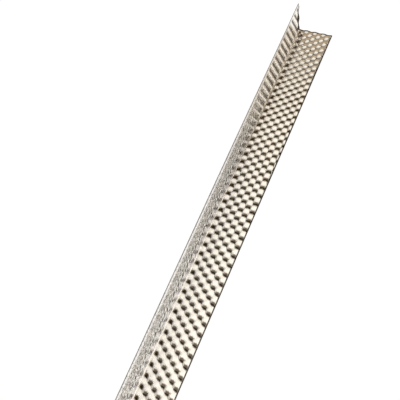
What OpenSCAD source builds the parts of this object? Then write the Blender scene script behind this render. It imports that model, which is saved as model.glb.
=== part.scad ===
// Ceiling wall angle: one strip of thin galvanised steel, folded lengthwise into an equal angle.
// It lies on its flange with the wall leg standing up, and its length runs along X.
// The origin is under the middle of its bounding box, at floor level.

/* [Section] */
// Height of the leg that is fixed to the wall, from the floor to its cut edge
wall_leg_height = 25; // [12:0.5:75]
// Width of the flange that carries the ceiling, from the wall to its cut edge
flange_width = 25; // [12:0.5:75]
// Thickness of the steel sheet
sheet_thickness = 0.5; // [0.4:0.05:1.5]
// Inside radius of the fold between the two legs
fold_inside_radius = 0.8; // [0.4:0.1:4]
// Rounding that the slitting knives leave along the two free edges
edge_rounding = 0.12; // [0.05:0.01:0.18]

/* [Length] */
// Length of the stock as sold
stock_length = 3000; // [150:10:3600]

/* [Hidden] */
$fn = 48;
galvanized_gray = [0.74, 0.71, 0.65];
fold_outside_radius = fold_inside_radius + sheet_thickness;

// One flat leg in section, from the end of the fold to its cut edge, whose two corners are rounded
module leg_outline(reach) {
    flat_end = reach - edge_rounding;
    translate([fold_outside_radius, 0]) square([flat_end - fold_outside_radius, sheet_thickness]);
    translate([flat_end, edge_rounding]) square([edge_rounding, sheet_thickness - 2 * edge_rounding]);
    for (height = [edge_rounding, sheet_thickness - edge_rounding])
        translate([flat_end, height]) circle(r = edge_rounding);
}

// A quarter ring of sheet about the centre of the fold
module fold_outline() {
    intersection() {
        square(fold_outside_radius);
        translate([fold_outside_radius, fold_outside_radius]) difference() {
            circle(r = fold_outside_radius);
            circle(r = fold_inside_radius);
        }
    }
}

// The whole section: the flange along the floor, the wall leg standing up at its left
module section_outline() {
    leg_outline(flange_width);
    mirror([1, -1]) leg_outline(wall_leg_height);
    fold_outline();
}

// The section carried along the length, with its middle over the origin
module angle_section() {
    color(galvanized_gray)
    translate([-stock_length / 2, -flange_width / 2, 0])
    rotate([90, 0, 90])
    linear_extrude(height = stock_length) section_outline();
}

angle_section();
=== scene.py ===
import math
import bpy
import numpy as np
from mathutils import Matrix, Vector


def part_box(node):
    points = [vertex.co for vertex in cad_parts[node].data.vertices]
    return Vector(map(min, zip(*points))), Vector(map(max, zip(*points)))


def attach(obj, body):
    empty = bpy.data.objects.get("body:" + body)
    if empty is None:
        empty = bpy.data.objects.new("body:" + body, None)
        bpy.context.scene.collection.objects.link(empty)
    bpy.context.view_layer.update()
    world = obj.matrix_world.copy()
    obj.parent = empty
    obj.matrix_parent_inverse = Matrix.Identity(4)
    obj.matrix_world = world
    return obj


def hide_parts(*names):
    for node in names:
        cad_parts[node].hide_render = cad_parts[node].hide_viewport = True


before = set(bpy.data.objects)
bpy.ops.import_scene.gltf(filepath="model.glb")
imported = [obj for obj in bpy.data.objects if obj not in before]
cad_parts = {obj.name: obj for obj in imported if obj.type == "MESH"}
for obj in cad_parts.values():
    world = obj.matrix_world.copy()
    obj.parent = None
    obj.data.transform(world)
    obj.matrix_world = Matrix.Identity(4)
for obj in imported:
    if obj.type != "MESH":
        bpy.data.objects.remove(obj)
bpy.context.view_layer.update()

mm = 0.001

# The strip of sheet, in millimetres. The legs and the length come from the CAD node's own box.
# Where a size of the dimples has two values, the first holds at the far cut end and the second
# further on, and a growth or shift says how far on: the photograph shows them change.
sheet = {
    "gauge": 0.5,
    "foldInsideRadius": 0.8,
    "edgeRounding": 0.12,       # left by the slitting knives along both free edges
    "lip": 0.52,                # the wall leg's edge is set back by this much
    "lipAt": (0.8, 2.5),        # between these two distances from it
    # The dimples
    "dimpleHeight": (0.31, 0.42),   # a crown over, and a pit under, the middle of the sheet
    "crispness": 0.9,           # 0.1 gives round hills along the stock, 1 a zigzag of flat slopes
    "squareSide": (3.05, 4.12), # one dimple along the stock
    "squareGrowth": 290.0,
    "rowPitch": (3.1, 4.08),    # and across it: seven rows, then six
    "rowGrowth": 190.0,
    "firstRow": (2.9, 2.0),     # from the middle of the fold to the first row on the flange
    "firstRowShift": 130.0,
    "slant": (-0.2, 0.42),      # under 0 the pits run into each other towards the wall and away
    "slantGrowth": 360.0,       # from the far end, and over 0 the other way
    "foldFlattening": 0.85,     # how much of the relief the fold presses out
    "foldReach": 0.8,           # how far from the middle of the fold that is felt
    "wallRelief": 0.5,          # the wall leg's share of the relief
    "ribRelief": 1.0,           # and that of the ribs, into which its dimples are drawn out at
    "ribSlant": -0.9,           # the far end
    "ribStretch": 1.7,
    "ribbedStretch": (60.0, 160.0), # they turn into plain dimples between these two places
    "wallMargin": (1.6, 3.0),   # a flat margin along the wall leg's edge
    "flangeMargin": 0.2,        # and hardly any along the flange's
    "marginRise": 1.0,          # the width over which the relief comes up beside a margin
    # The mesh
    "stepsPerSquare": (4, 5),   # over one dimple, along the stock and across it
    "foldSteps": 6,             # round the fold
    "roundingSteps": 2,         # and round each corner of a cut edge
    "darkSteps": (5, 1),      # steps from each end that are dark cut steel inside the wall leg,
    "darkMargin": 5.0,         # no nearer to its edge than this
    "countingSteps": 60000,     # the count of squares is worked out in this many steps
    "slopeStep": 0.01,          # and the slopes of the relief between points this far either side
    "stretches": 5,             # one strip, made as this many pieces end to end
}


def smooth(share):
    # 0 below 0, 1 above 1, and 3 s^2 - 2 s^3 between them
    share = np.clip(share, 0, 1)
    return share * share * (3 - 2 * share)


def ramp(value, start, full):
    # 0 up to the start and 1 from full on, whichever of the two is the larger
    return smooth((value - start) / (full - start))


def between(pair, share):
    # From the first value at 0 to the second at 1
    return pair[0] + (pair[1] - pair[0]) * smooth(share)


def bell(place, reach):
    # e to the power -(place / reach)^4: nearly 1 out to half the reach, then quickly down to 0
    return np.exp(-(place / reach) ** 4)


def zigzag(turns):
    # A cosine drawn towards a zigzag: almost even slopes that meet in rounded crests
    return np.arcsin(sheet["crispness"] * np.cos(np.pi * turns)) / math.asin(sheet["crispness"])


def rounded(turns):
    # A plain cosine, on the same count of turns
    return np.cos(np.pi * turns)


def squaresUpTo(along):
    # The square's side grows in a straight line over the first stretch, then stays. The count of
    # squares up to a place is the integral of 1 / side: a logarithm, then a straight line.
    first, full = sheet["squareSide"]
    slope = (full - first) / sheet["squareGrowth"]
    growing = np.clip(along, 0, sheet["squareGrowth"])
    beyond = np.maximum(along - sheet["squareGrowth"], 0)
    return np.log(1 + slope * growing / first) / slope + beyond / full


def rowsAt(along):
    # Where the first row's middle lies on the flange, and how far on the next one is
    firstRow = between(sheet["firstRow"], along / sheet["firstRowShift"])
    return firstRow, between(sheet["rowPitch"], along / sheet["rowGrowth"])


def wallShareAt(girth):
    # 0 on the flange, 1 on the wall leg
    return ramp(girth, 0, -sheet["foldReach"])


def ribbedShareAt(along, girth):
    # 1 on the wall leg at the far end, 0 on the flange and further on
    return wallShareAt(girth) * (1 - ramp(along, *sheet["ribbedStretch"]))


def clearShareAt(along, girth, legEnd):
    # 0 in the flat margin along the wall leg's edge, 1 beside it
    margin = between(sheet["wallMargin"], along / sheet["ribbedStretch"][1])
    return smooth((girth + legEnd[0] - margin) / sheet["marginRise"])


def reliefAt(along, girth, legEnd):
    # A checkerboard of crowns, 1, and pits, -1: the product of a wave along the stock and one
    # across it, and a slanted share of the same waves half a square on. Then the fold, the wall
    # leg and the two margins each press it flatter.
    squares = squaresUpTo(along)
    ribbed = ribbedShareAt(along, girth)
    stretch = 1 + (sheet["ribStretch"] - 1) * ribbed
    firstRow, pitch = rowsAt(along)
    rows = (np.maximum(girth, 0) + np.minimum(girth, 0) / stretch - firstRow) / pitch
    slant = between(sheet["slant"], along / sheet["slantGrowth"])
    slant = slant + (sheet["ribSlant"] - slant) * ribbed
    checker = zigzag(squares) * rounded(rows) + slant * zigzag(squares - 0.5) * rounded(rows - 0.5)
    pressed = 1 - sheet["foldFlattening"] * np.exp(-(girth / sheet["foldReach"]) ** 2)
    pressed = pressed * (1 - (1 - sheet["wallRelief"]) * wallShareAt(girth)
                         + (sheet["ribRelief"] - sheet["wallRelief"]) * ribbed)
    pressed = pressed * clearShareAt(along, girth, legEnd)
    pressed = pressed * smooth((legEnd[1] - girth - sheet["flangeMargin"]) / sheet["marginRise"])
    return -checker * pressed


def heightAt(along, girth, legEnd):
    # The relief times its height, less the lip, which slopes straight between its two distances
    # from the wall leg's edge
    outer, inner = sheet["lipAt"]
    lip = sheet["lip"] * np.clip((inner - girth - legEnd[0]) / (inner - outer), 0, 1)
    lip = lip * smooth(along / sheet["ribbedStretch"][1])
    lift = between(sheet["dimpleHeight"], along / sheet["squareGrowth"])
    return lift * reliefAt(along, girth, legEnd) - lip


def sectionBase(girth):
    # The middle of the sheet in section, by the distance along it from the middle of the fold:
    # straight up the wall leg, a quarter circle, straight along the flange. With it go the
    # direction into the inside corner and the direction of growing distance.
    midRadius = sheet["foldInsideRadius"] + sheet["gauge"] / 2
    centre = sheet["foldInsideRadius"] + sheet["gauge"]
    halfArc = midRadius * math.pi / 4
    turn = np.clip(girth, -halfArc, halfArc) / midRadius - 0.75 * math.pi
    beyond = girth - np.clip(girth, -halfArc, halfArc)
    across = centre + midRadius * np.cos(turn) + np.maximum(beyond, 0)
    up = centre + midRadius * np.sin(turn) - np.minimum(beyond, 0)
    inward = np.stack([np.zeros_like(turn), -np.cos(turn), -np.sin(turn)], -1)
    onward = np.stack([np.zeros_like(turn), -np.sin(turn), np.cos(turn)], -1)
    return across, up, inward, onward


def ringOf(legHeight, flangeWidth):
    # One turn round the sheet in section: along the inside face to the flange's edge, round it,
    # back along the outside face, and round the wall leg's edge. Each point is its distance
    # along the sheet, its place through the thickness (1 inside, -1 outside), and how far its
    # normal has turned from the face's own towards the edge.
    centre = sheet["foldInsideRadius"] + sheet["gauge"]
    halfArc = (sheet["foldInsideRadius"] + sheet["gauge"] / 2) * math.pi / 4
    step = sheet["rowPitch"][1] / sheet["stepsPerSquare"][1]
    flangeEnd = halfArc + flangeWidth - centre - sheet["edgeRounding"]
    wallEnd = halfArc + legHeight - centre - sheet["edgeRounding"]
    onFlange = np.linspace(halfArc, flangeEnd, round((flangeEnd - halfArc) / step) + 1)
    onWall = np.linspace(-wallEnd, -halfArc, round((wallEnd - halfArc) / step) + 1)
    onFold = np.linspace(-halfArc, halfArc, sheet["foldSteps"] + 1)[1:-1]
    face = np.concatenate([onWall, onFold, onFlange])
    rounding = np.linspace(0, math.pi / 2, sheet["roundingSteps"] + 1)
    bulge = sheet["edgeRounding"] * np.sin(rounding)
    inset = 1 - 2 * sheet["edgeRounding"] * (1 - np.cos(rounding)) / sheet["gauge"]
    girth = np.concatenate([face, flangeEnd + bulge[1:], flangeEnd + bulge[:0:-1],
                            face[::-1], -wallEnd - bulge[1:], -wallEnd - bulge[:0:-1]])
    flat = np.ones(len(face))
    through = np.concatenate([flat, inset[1:], -inset[:0:-1], -flat, -inset[1:], inset[:0:-1]])
    toEdge = np.concatenate([0 * flat, rounding[1:], rounding[:0:-1], 0 * flat,
                             -rounding[1:], -rounding[:0:-1]])
    return girth, through, toEdge, len(face)


def sheetSurface(along, girth, through, toEdge, legEnd):
    # Middle of the sheet, lifted by the relief, then half the gauge to either side along the
    # lifted surface's own normal, whose tilt comes from the relief's two slopes
    alongGrid, girthGrid = np.meshgrid(along, girth, indexing="ij")
    across, up, inward, onward = sectionBase(girth)
    nudge = sheet["slopeStep"]
    height = heightAt(alongGrid, girthGrid, legEnd)
    slopeAlong = (heightAt(alongGrid + nudge, girthGrid, legEnd)
                  - heightAt(alongGrid - nudge, girthGrid, legEnd)) / (2 * nudge)
    slopeRound = (heightAt(alongGrid, girthGrid + nudge, legEnd)
                  - heightAt(alongGrid, girthGrid - nudge, legEnd)) / (2 * nudge)
    normal = (inward[None] - slopeRound[..., None] * onward[None]
              - slopeAlong[..., None] * np.array([1.0, 0, 0]))
    normal /= np.linalg.norm(normal, axis=-1, keepdims=True)
    point = np.stack([alongGrid, np.broadcast_to(across, height.shape),
                      np.broadcast_to(up, height.shape)], -1)
    point = point + inward[None] * height[..., None]
    point = point + normal * (through * sheet["gauge"] / 2)[None, :, None]
    side = np.where(through >= 0, 1.0, -1.0)
    facing = (normal * (side * np.cos(toEdge))[None, :, None]
              + onward[None] * np.sin(toEdge)[None, :, None])
    return point, facing, tonesAt(alongGrid, girthGrid, side, legEnd)


# Painted shade and painted highlight in the zinc's colour: the shade darkens the pits, the row
# along the fold and the furrows, and a pale matte skin paints highlights on crowns, ribs, fold and
# lip. Of two shades the first holds at the far cut end and the second further on. A level is 1 on top
# of a crown and -1 at the bottom of a pit: of two levels, a tone starts at the first and is full at
# the second.
paintedLightAndScuffs = {
    "pitShade": (0.36, 0.08), # painted shade in the pits
    "pitLevels": (1.0, -1.0),
    "cornerShade": (0.88, 1.0),   # painted shade in those of the row along the fold
    "cornerGrowth": 40.0,
    "cornerReach": 0.5,         # as far to either side as this share of a row's pitch
    "cornerStart": (0.4, -0.05),    # from this level, at the far end and further on, and in full
    "cornerFade": 0.4,          # so much deeper
    "dotShade": 0.9,          # painted shade in the middle of the flange's pits, coming in over this length
    "dotsFrom": 100.0,          # from the far end
    "dotLevels": (-0.25, -0.55),
    "crispStretch": (70.0, 160.0, 290.0),   # in full from the first place to the second, and gone
    "crispShade": 0.7,        # at the third: so much more painted shade in the pits there
    "crispLevels": (0.0, -0.4),
    "furrowShade": 1.0,          # painted shade between the wall leg's ribs
    "ribLevels": (-0.15, -0.65),
    "highlightSkin": 0.8,               # how far a painted highlight in full turns the metal into a pale matte skin
    "ridgeLevels": (0.3, 0.7),  # painted highlight on the ribs
    "marginHighlight": 0.5,        # and so much on the margin at their ends
    "crownHighlight": 1.15,        # painted highlight on the flange's crowns, coming in with the dots
    "crispHighlight": 0.9,         # or with the crisp pits, whichever is more
    "crownLevels": (0.0, 0.3),
    "foldHighlight": 0.65,         # painted highlight in a line along the fold, after the crisp pits
    "foldLine": (-0.2, 0.8),    # mm from the middle of the fold to it, and its reach
    # painted highlight along the lip by the wall leg's edge
    "lipHighlight": 0.65,
    "scuffReach": 5.0,          # mm from the fold up the wall leg
    "outsideShare": 0.35,       # how much of the uneven tones the outside face shows
}


def tonesAt(along, girth, side, legEnd):
    # How much painted shade and painted highlight the zinc bears at each point, how mottled and
    # scuffed it is, and whether it is on the plain part of the wall leg. Each tone is a strength times
    # a ramp over the relief's level or a bell across the sheet. The crisp pits' painted shade adds to
    # the plain pits', and otherwise the strongest tone counts. side is 1 on the inside face and -1 on
    # the outside one, where a crown shows as a pit.
    level = reliefAt(along, girth, legEnd) * side
    strength = np.where(side > 0, 1, paintedLightAndScuffs["outsideShare"])
    wallShare = wallShareAt(girth)
    flangeInside = (side > 0) * (1 - wallShare)
    ribbed = ribbedShareAt(along, girth)
    clear = clearShareAt(along, girth, legEnd)
    comingIn = ramp(along, 0, paintedLightAndScuffs["dotsFrom"])
    risen, full, gone = paintedLightAndScuffs["crispStretch"]
    afterCrisp = ramp(along, full, gone)
    crisp = ramp(along, 0, risen) * (1 - afterCrisp)

    # Painted shade: in the pits, the crisp pits, the row along the fold, the middle of the pits and
    # the furrows
    pits = between(paintedLightAndScuffs["pitShade"], along / sheet["squareGrowth"]) * (1 - ribbed)
    pits = pits * ramp(level, *paintedLightAndScuffs["pitLevels"])
    pits = pits + (paintedLightAndScuffs["crispShade"] * crisp * (1 - wallShare)
                   * ramp(level, *paintedLightAndScuffs["crispLevels"]))
    firstRow, pitch = rowsAt(along)
    start = between(paintedLightAndScuffs["cornerStart"], along / sheet["squareGrowth"])
    corner = between(paintedLightAndScuffs["cornerShade"], along / paintedLightAndScuffs["cornerGrowth"]) * flangeInside
    corner = corner * bell(girth - firstRow, paintedLightAndScuffs["cornerReach"] * pitch)
    corner = corner * ramp(level, start, start - paintedLightAndScuffs["cornerFade"])
    dots = paintedLightAndScuffs["dotShade"] * comingIn * flangeInside * ramp(level, *paintedLightAndScuffs["dotLevels"])
    furrows = paintedLightAndScuffs["furrowShade"] * strength * ribbed * clear * ramp(level, *paintedLightAndScuffs["ribLevels"])

    # Painted highlight: on the ribs and their margin, the crowns, a line along the fold and the lip
    ribs = np.maximum(ramp(level, *paintedLightAndScuffs["ridgeLevels"]), paintedLightAndScuffs["marginHighlight"] * (1 - clear))
    crowns = np.maximum(paintedLightAndScuffs["crownHighlight"] * comingIn, paintedLightAndScuffs["crispHighlight"] * crisp)
    crowns = crowns * flangeInside * ramp(level, *paintedLightAndScuffs["crownLevels"])
    place, reach = paintedLightAndScuffs["foldLine"]
    foldGleam = paintedLightAndScuffs["foldHighlight"] * np.exp(-((girth - place) / reach) ** 2) * (side > 0)
    outer, inner = sheet["lipAt"]
    lip = bell(girth + legEnd[0] - (outer + inner) / 2, (inner - outer) / 2)
    lip = paintedLightAndScuffs["lipHighlight"] * lip * (side > 0) * comingIn
    pale = np.maximum.reduce([ribs * ribbed, crowns, foldGleam * afterCrisp, lip])
    # Painted shade darkens towards the shade tone; painted highlight and the furrows make a matte skin
    return {"paintedShade": np.maximum.reduce([pits, corner, dots, furrows]),
            "paintedMatteSkin": np.maximum(furrows, paintedLightAndScuffs["highlightSkin"] * pale),
            "uneven": strength * wallShare * (1 - pale),
            "scuffed": wallShare * (1 - ribbed) * bell(girth, paintedLightAndScuffs["scuffReach"]),
            "wallShare": wallShare * (1 - ribbed)}


def finishOf(sideCount, capCount, along, ring, legEnd):
    # Each face's place in the list of finishes: zinc on the sheet, dark cut steel on the two ends,
    # on the flange's edge, where it is painted shade, and just inside the wall leg's ends, and lighter
    # cut steel along the wall leg's edge, as painted light
    zincSkin, darkCutSteel, litCutSteel = range(3)
    girth, through, toEdge = ring[:3]
    steps = len(along) - 1
    cutEdge = np.tile(np.abs(toEdge) + np.abs(np.roll(toEdge, -1)) > 0, steps)
    edgeFinish = np.tile(np.where(girth < 0, litCutSteel, darkCutSteel), steps)
    darkened = (girth < -2 * sheet["foldReach"]) & (girth > sheet["darkMargin"] - legEnd[0])
    darkened = np.tile(darkened & (through > 0), steps)
    atStart, atEnd = (count * len(girth) for count in sheet["darkSteps"])
    sides = np.where(cutEdge, edgeFinish, zincSkin)
    if along[0] == 0:
        sides[:atStart][darkened[:atStart]] = darkCutSteel
    if along[-1] == stockLength:
        sides[sideCount - atEnd:][darkened[-atEnd:]] = darkCutSteel
    return np.concatenate([sides, np.full(capCount, darkCutSteel)]).astype(np.int32)


def addStretch(name, along, origin, ring):
    # Rings of points, one for each place along the stock, joined by quads
    girth, through, toEdge, facePoints = ring
    legEnd = -girth.min(), girth.max()
    point, facing, tones = sheetSurface(along, girth, through, toEdge, legEnd)
    point = (point + origin) * mm
    rows, turns = len(along), len(girth)
    index = np.arange(rows * turns).reshape(rows, turns)
    nextTurn = np.roll(index, -1, axis=1)
    sides = np.stack([index[:-1], index[1:], nextTurn[1:], nextTurn[:-1]], -1).reshape(-1, 4)
    # Each end is closed by quads between the inside and the outside of the sheet
    inner = np.arange(-sheet["roundingSteps"], facePoints + sheet["roundingSteps"])
    outer = 2 * (facePoints + sheet["roundingSteps"]) - 1 - inner
    inner, outer = inner % turns, outer % turns
    cap = np.stack([inner[:-1], inner[1:], outer[1:], outer[:-1]], -1)
    startCap = index[0][cap]
    endCap = index[-1][cap][:, ::-1]
    faces = np.concatenate([sides, startCap, endCap])
    mesh = bpy.data.meshes.new(name)
    mesh.vertices.add(rows * turns)
    mesh.vertices.foreach_set("co", point.reshape(-1))
    mesh.loops.add(faces.size)
    mesh.loops.foreach_set("vertex_index", faces.reshape(-1))
    mesh.polygons.add(len(faces))
    mesh.polygons.foreach_set("loop_start", np.arange(0, faces.size, 4))
    mesh.polygons.foreach_set("use_smooth", np.ones(len(faces), bool))
    finishIndex = finishOf(len(sides), 2 * len(cap), along, ring, legEnd)
    mesh.polygons.foreach_set("material_index", finishIndex)
    mesh.update(calc_edges=True)
    mesh.validate()
    # Exact normals from the formula, so that the light runs on unbroken from piece to piece
    corner = facing.reshape(-1, 3)[faces.reshape(-1)].reshape(-1, 4, 3)
    corner[len(sides):len(sides) + len(cap)] = [-1, 0, 0]
    corner[len(sides) + len(cap):] = [1, 0, 0]
    mesh.normals_split_custom_set(corner.reshape(-1, 3).astype(np.float32))
    for tone, values in tones.items():
        layer = mesh.attributes.new(tone, "FLOAT", "POINT")
        layer.data.foreach_set("value", values.reshape(-1).astype(np.float32))
    piece = bpy.data.objects.new(name, mesh)
    bpy.context.scene.collection.objects.link(piece)
    return piece


def linear(code):
    # An sRGB hex colour as linear red, green, blue and alpha
    values = [int(code[i:i + 2], 16) / 255 for i in (1, 3, 5)]
    return [v / 12.92 if v <= 0.04045 else ((v + 0.055) / 1.055) ** 2.4 for v in values] + [1.0]


def addNode(owner, kind, settings=None, links=None):
    # The owner is a material or the world, and links gives each input socket the output socket
    # that feeds it
    node = owner.node_tree.nodes.new(kind)
    for key, value in (settings or {}).items():
        if isinstance(key, int) or key in node.inputs:
            node.inputs[key].default_value = value
        else:
            setattr(node, key, value)
    for socket, source in (links or {}).items():
        owner.node_tree.links.new(source, node.inputs[socket])
    return node


def newMaterial(name):
    material = bpy.data.materials.new(name)
    material.use_nodes = True
    material.node_tree.nodes.clear()
    return material


zinc = {
    "crown": "#f6f4f0",
    "wallCoolTone": "#f5f8ff",     # bluer on the wall leg past its ribs: painted cooler light
    # the painted shade's colour, dark brown
    "paintedShadeTone": "#42300f",
    # the painted highlight's pale colour
    "highlightTone": "#fffdf9",
    "darkCut": "#403b35",          # dark cut steel; along the flange's edge it is painted shade
    "litCut": "#7b7a79",         # lighter cut steel on the wall leg's edge, which faces up: painted light
    "darkBands": (1.1, 0.82, 0.12), # mm of dark band from the ends, the flange's edge, there painted shade, and the wall leg's:
    "bandFade": (0.6, 1.2),     # dark up to the first share of that, zinc from the second on
    "roughness": 0.12,
    "roughnessSpread": 0.06,
    "skinRoughness": 0.3,      # added where the matte skin of painted highlight and shade lies
    "scuffRoughness": 0.3,      # and where it is scuffed
    "skinGloss": 0.2,          # the specular level, which only the matte skin shows
    "grain": 1.4,               # mm across a patch of the mottle, coarser than such zinc's so
                                # that it shows
    "wave": 2.0,                # and a wave of the wall leg, whose dimples the fold evened out
    "mottle": (0.06, 0.65),     # how much darker the darkest patches are, on flange and wall leg, there in the waves' hollows as painted shade
    "mottleBand": (0.35, 0.55), # the noise's values from the darkest tone to the full one
    "grainBand": (0.3, 0.7),    # and from the smoothest place to the roughest
    "ripple": 0.015,            # mm, the zinc skin's own unevenness
    "waveHeight": 0.15,         # mm
}


def scaleOf(size):
    # A noise texture's scale on Object coordinates, in metres, for patches of a size in mm
    return 1 / (size * mm)


def dimpledZinc(cutAt):
    # Hot-dip galvanised strip, skin-rolled smooth and then dimpled between toothed rolls: bright
    # metal, with painted shade, dark and brown, in the pits, a pale matte skin as painted highlight on
    # crowns and ribs, a bluer tone on the wall leg as painted cooler light, mottled there with painted
    # shade in the waves' hollows, scuffed, and dark in a narrow band along each cut, painted shade
    # along the flange's edge
    material = newMaterial("dimpledGalvanisedSteel")
    tones = {name: addNode(material, "ShaderNodeAttribute", {"attribute_name": name}).outputs["Fac"]
             for name in ("paintedShade", "paintedMatteSkin", "uneven", "scuffed", "wallShare")}
    # The zinc's tone, bluer on the wall leg: painted cooler light
    clean = addNode(material, "ShaderNodeMix",
                    {"data_type": "RGBA", 6: linear(zinc["crown"]), 7: linear(zinc["wallCoolTone"])},
                    {"Factor": tones["wallShare"]})
    # Painted highlight: towards the pale tone where the matte skin lies
    withHighlight = addNode(material, "ShaderNodeMix", {"data_type": "RGBA", 7: linear(zinc["highlightTone"])},
                    {"Factor": tones["paintedMatteSkin"], 6: clean.outputs[2]})
    # Painted shade: towards the dark brown shade tone
    tone = addNode(material, "ShaderNodeMix", {"data_type": "RGBA", 7: linear(zinc["paintedShadeTone"])},
                   {"Factor": tones["paintedShade"], 6: withHighlight.outputs[2]})
    # The mottle: fine and faint random patches on the flange, stronger waves on the wall leg, darkest
    # in the waves' hollows, which is painted shade
    place = addNode(material, "ShaderNodeTexCoord")
    patches = addNode(material, "ShaderNodeTexNoise",
                      {"Scale": scaleOf(zinc["grain"]), "Detail": 3.0, "Roughness": 0.6},
                      {"Vector": place.outputs["Object"]})
    waves = addNode(material, "ShaderNodeTexNoise",
                    {"Scale": scaleOf(zinc["wave"]), "Detail": 1.0, "Roughness": 0.5},
                    {"Vector": place.outputs["Object"]})
    darkest = addNode(material, "ShaderNodeMapRange",
                      {"To Min": 1 - zinc["mottle"][0], "To Max": 1 - zinc["mottle"][1]},
                      {"Value": tones["uneven"]})
    pattern = addNode(material, "ShaderNodeMix", None,
                      {"Factor": tones["uneven"], 2: patches.outputs["Fac"], 3: waves.outputs["Fac"]})
    fromDarkest, toFull = zinc["mottleBand"]
    shade = addNode(material, "ShaderNodeMapRange",
                    {"From Min": fromDarkest, "From Max": toFull, "To Max": 1.0},
                    {"Value": pattern.outputs[0], "To Min": darkest.outputs["Result"]})
    mottled = addNode(material, "ShaderNodeVectorMath", {"operation": "MULTIPLY"},
                      {0: tone.outputs[2], 1: shade.outputs["Result"]})
    # How far a point is from each cut: the ends along X, the flange's edge along Y, and the wall
    # leg's edge along Z. The nearest counts, each against its own width of dark band, painted shade
    # along the flange's edge.
    split = addNode(material, "ShaderNodeSeparateXYZ", None, {0: place.outputs["Object"]})
    alongCut = addNode(material, "ShaderNodeMath", {"operation": "ABSOLUTE"},
                       {0: split.outputs["X"]})
    darkTo, zincFrom = zinc["bandFade"]
    skinned = None
    for end, value, band in zip(cutAt, (alongCut.outputs[0], split.outputs["Y"], split.outputs["Z"]),
                                zinc["darkBands"]):
        skin = addNode(material, "ShaderNodeMapRange",
                       {"From Min": end - darkTo * band * mm, "From Max": end - zincFrom * band * mm},
                       {"Value": value}).outputs["Result"]
        if skinned:
            skin = addNode(material, "ShaderNodeMath", {"operation": "MINIMUM"},
                           {0: skinned, 1: skin}).outputs[0]
        skinned = skin
    colour = addNode(material, "ShaderNodeMix", {"data_type": "RGBA", 6: linear(zinc["darkCut"])},
                     {"Factor": skinned, 7: mottled.outputs[0]})
    smoothest, roughest = zinc["grainBand"]
    gloss = addNode(material, "ShaderNodeMapRange",
                    {"From Min": smoothest, "From Max": roughest, "To Min": zinc["roughness"],
                     "To Max": zinc["roughness"] + zinc["roughnessSpread"]},
                    {"Value": patches.outputs["Fac"]})
    scuffs = addNode(material, "ShaderNodeMath",
                     {"operation": "MULTIPLY_ADD", 1: zinc["scuffRoughness"]},
                     {0: tones["scuffed"], 2: gloss.outputs["Result"]})
    duller = addNode(material, "ShaderNodeMath",
                     {"operation": "MULTIPLY_ADD", 1: zinc["skinRoughness"]},
                     {0: tones["paintedMatteSkin"], 2: scuffs.outputs[0]})
    metal = addNode(material, "ShaderNodeMath", {"operation": "SUBTRACT", 0: 1.0},
                    {1: tones["paintedMatteSkin"]})
    # One bump in units of the ripple, with the waves so much higher where the sheet is uneven
    wallWaves = addNode(material, "ShaderNodeMath", {"operation": "MULTIPLY"},
                        {0: waves.outputs["Fac"], 1: tones["uneven"]})
    heights = addNode(material, "ShaderNodeMath",
                      {"operation": "MULTIPLY_ADD", 1: zinc["waveHeight"] / zinc["ripple"]},
                      {0: wallWaves.outputs[0], 2: patches.outputs["Fac"]})
    ripple = addNode(material, "ShaderNodeBump", {"Distance": zinc["ripple"] * mm},
                     {"Height": heights.outputs[0]})
    shader = addNode(material, "ShaderNodeBsdfPrincipled", {"Specular IOR Level": zinc["skinGloss"]},
                     {"Base Color": colour.outputs[2], "Roughness": duller.outputs[0],
                      "Metallic": metal.outputs[0], "Normal": ripple.outputs["Normal"]})
    addNode(material, "ShaderNodeOutputMaterial", None, {"Surface": shader.outputs[0]})
    return material


def cutSteel(name, tone):
    # Cut steel as a plain matte colour, no metal: dull, dark and a little brown, which on the
    # flange's edge is painted shade, and lighter grey on the wall leg's edge, which faces up, as
    # painted light
    material = newMaterial(name)
    shader = addNode(material, "ShaderNodeBsdfPrincipled",
                     {"Roughness": 0.8, "Specular IOR Level": 0.0, "Base Color": linear(tone)})
    addNode(material, "ShaderNodeOutputMaterial", None, {"Surface": shader.outputs[0]})
    return material


print("stage: sheet")
low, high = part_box("angle_section")
low, high = np.array(low) / mm, np.array(high) / mm
stockLength, flangeWidth, legHeight = high - low
ring = ringOf(legHeight, flangeWidth)
stepCount = round(squaresUpTo(stockLength) * sheet["stepsPerSquare"][0])
# Zinc, dark cut steel, painted shade on the flange's edge, and lighter cut steel, painted light on the
# wall leg's edge
finishes = [dimpledZinc((high[0] * mm, high[1] * mm, high[2] * mm)),
            cutSteel("darkCutSteel", zinc["darkCut"]), cutSteel("litCutSteel", zinc["litCut"])]


def placesAlong():
    # Mesh steps that keep in time with the dimples: equal shares of the count of squares
    fine = np.linspace(0, stockLength, sheet["countingSteps"] + 1)
    squares = squaresUpTo(fine)
    return np.interp(np.linspace(0, squares[-1], stepCount + 1), squares, fine)


along = placesAlong()
cuts = np.linspace(0, stepCount, sheet["stretches"] + 1).round().astype(int)
for number, (first, last) in enumerate(zip(cuts[:-1], cuts[1:]), 1):
    piece = addStretch(f"angleStretch{number}", along[first:last + 1], low, ring)
    for material in finishes:
        piece.data.materials.append(material)
    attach(piece, "root")
    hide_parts("angle_section")
    print("piece", piece.name, len(piece.data.polygons), "quads")


print("stage: floor and light")
studio = {
    "floor": "#f4f3f1",
    "floorSize": 30.0,
    "floorDrop": 0.42,          # mm: the underside's dimples reach nearly this far under the sheet
    "glow": 1.03,               # the background's white, from the floor's own light, and the
    "glowShare": 0.93,          # share of it there, the rest being lit and shadowed
    "wall": "#5d5547",          # the room beyond the stock's far end, up to the first angle
    "wallTop": (20, 34),        # above the horizon, and over the second
    "ceiling": "#443e30",
    "behind": "#b9b5ac",        # and the room behind the camera: it comes in between these two
    "behindFrom": (-0.35, 0.1), # values of a direction's X
}

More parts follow.
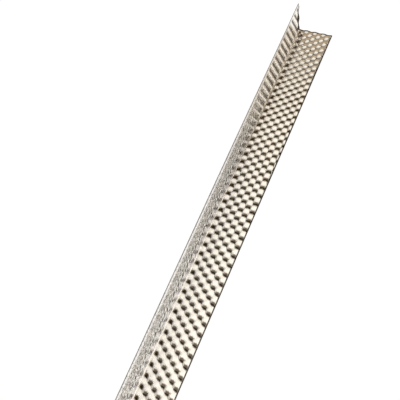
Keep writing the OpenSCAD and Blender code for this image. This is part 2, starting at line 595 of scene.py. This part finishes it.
# The softboxes, in metres. Their level is the brightness that a mirror would show, 1 is white.
softboxes = {
    "ceilingBox": {"place": (0.765, 0, 2.0), "aim": (0.765, 0, 0), "width": 7.47, "depth": 4.3,
                   "level": 1.05, "colour": "#fff9ef"},
    "sideBox": {"place": (-1.35, 3.0, 1.1), "aim": (-1.35, 0, 0.4), "width": 5.0, "depth": 1.6,
                "level": 2.2, "colour": "#fff5ea"},
    "warmCard": {"place": (-1.62, 0, 0.07), "aim": (-1.5, 0, 0.07), "width": 1.2, "depth": 0.14,
                 "level": 0.52, "colour": "#f3d9b8"},
}


def addFloor():
    # A level square, white to the camera and where the metal mirrors it, with a soft shadow
    half = studio["floorSize"] / 2
    level = -studio["floorDrop"] * mm
    corners = [(-half, -half, level), (half, -half, level), (half, half, level), (-half, half, level)]
    mesh = bpy.data.meshes.new("floor")
    mesh.from_pydata(corners, [], [(0, 1, 2, 3)])
    floor = bpy.data.objects.new("floor", mesh)
    bpy.context.scene.collection.objects.link(floor)
    material = newMaterial("paleFloor")
    shade = addNode(material, "ShaderNodeBsdfDiffuse", {"Color": linear(studio["floor"])})
    glow = addNode(material, "ShaderNodeEmission", {"Color": (1, 1, 1, 1), "Strength": studio["glow"]})
    path = addNode(material, "ShaderNodeLightPath")
    seen = addNode(material, "ShaderNodeMath", {"operation": "MAXIMUM"},
                   {0: path.outputs["Is Camera Ray"], 1: path.outputs["Is Glossy Ray"]})
    seenToo = addNode(material, "ShaderNodeMath", {"operation": "MAXIMUM"},
                      {0: seen.outputs[0], 1: path.outputs["Is Transmission Ray"]})
    share = addNode(material, "ShaderNodeMath", {"operation": "MULTIPLY", 1: studio["glowShare"]},
                    {0: seenToo.outputs[0]})
    mixed = addNode(material, "ShaderNodeMixShader", None,
                    {0: share.outputs[0], 1: shade.outputs[0], 2: glow.outputs[0]})
    addNode(material, "ShaderNodeOutputMaterial", None, {"Surface": mixed.outputs[0]})
    floor.data.materials.append(material)


def addSoftbox(name, place, aim, width, depth, level, colour):
    light = bpy.data.lights.new(name, "AREA")
    light.shape = "RECTANGLE"
    light.size, light.size_y = width, depth
    light.energy = level * math.pi * width * depth
    light.color = linear(colour)[:3]
    lamp = bpy.data.objects.new(name, light)
    lamp.location = place
    lamp.rotation_euler = (Vector(aim) - Vector(place)).to_track_quat("-Z", "Y").to_euler()
    lamp.visible_camera = False
    bpy.context.scene.collection.objects.link(lamp)


def addWorld():
    # A dark room beyond the far end, against which the bright metal stands out, and a pale one
    # behind the camera
    world = bpy.data.worlds.new("studioRoom")
    bpy.context.scene.world = world
    world.use_nodes = True
    direction = addNode(world, "ShaderNodeTexCoord")
    split = addNode(world, "ShaderNodeSeparateXYZ", None, {0: direction.outputs["Generated"]})
    wallEnd, ceilingStart = (math.sin(math.radians(angle)) for angle in studio["wallTop"])
    upper = addNode(world, "ShaderNodeMapRange", {"From Min": wallEnd, "From Max": ceilingStart},
                    {"Value": split.outputs["Z"]})
    room = addNode(world, "ShaderNodeMix",
                   {"data_type": "RGBA", 6: linear(studio["wall"]), 7: linear(studio["ceiling"])},
                   {"Factor": upper.outputs["Result"]})
    roomEnd, behindStart = studio["behindFrom"]
    around = addNode(world, "ShaderNodeMapRange", {"From Min": roomEnd, "From Max": behindStart},
                     {"Value": split.outputs["X"]})
    whole = addNode(world, "ShaderNodeMix", {"data_type": "RGBA", 7: linear(studio["behind"])},
                    {"Factor": around.outputs["Result"], 6: room.outputs[2]})
    world.node_tree.links.new(whole.outputs[2], world.node_tree.nodes["Background"].inputs["Color"])


view = {
    "stand": (-0.7510, 0.23502, 0.74253),
    "aim": (-1.32894, -0.02595, 0.0),
    "roll": 5.81,               # degrees, the right-hand side of the picture turned down
    "lens": 135.0,
    "sensor": 36.0,
    "farthest": 100.0,          # metres, past the floor's edge
}


def addCamera():
    # Stands and aims at two points, then rolls about its own line of sight
    camera = bpy.data.cameras.new("camera")
    camera.lens = view["lens"]
    camera.sensor_width = view["sensor"]
    camera.clip_end = view["farthest"]
    holder = bpy.data.objects.new("camera", camera)
    toward = Vector(view["aim"]) - Vector(view["stand"])
    level = toward.to_track_quat("-Z", "Y").to_matrix()
    turned = level @ Matrix.Rotation(math.radians(-view["roll"]), 3, "Z")
    holder.matrix_world = Matrix.Translation(Vector(view["stand"])) @ turned.to_4x4()
    bpy.context.scene.collection.objects.link(holder)
    bpy.context.scene.camera = holder


addFloor()
addWorld()
for name, box in softboxes.items():
    addSoftbox(name, **box)
addCamera()
bpy.context.scene.view_settings.view_transform = "Standard"
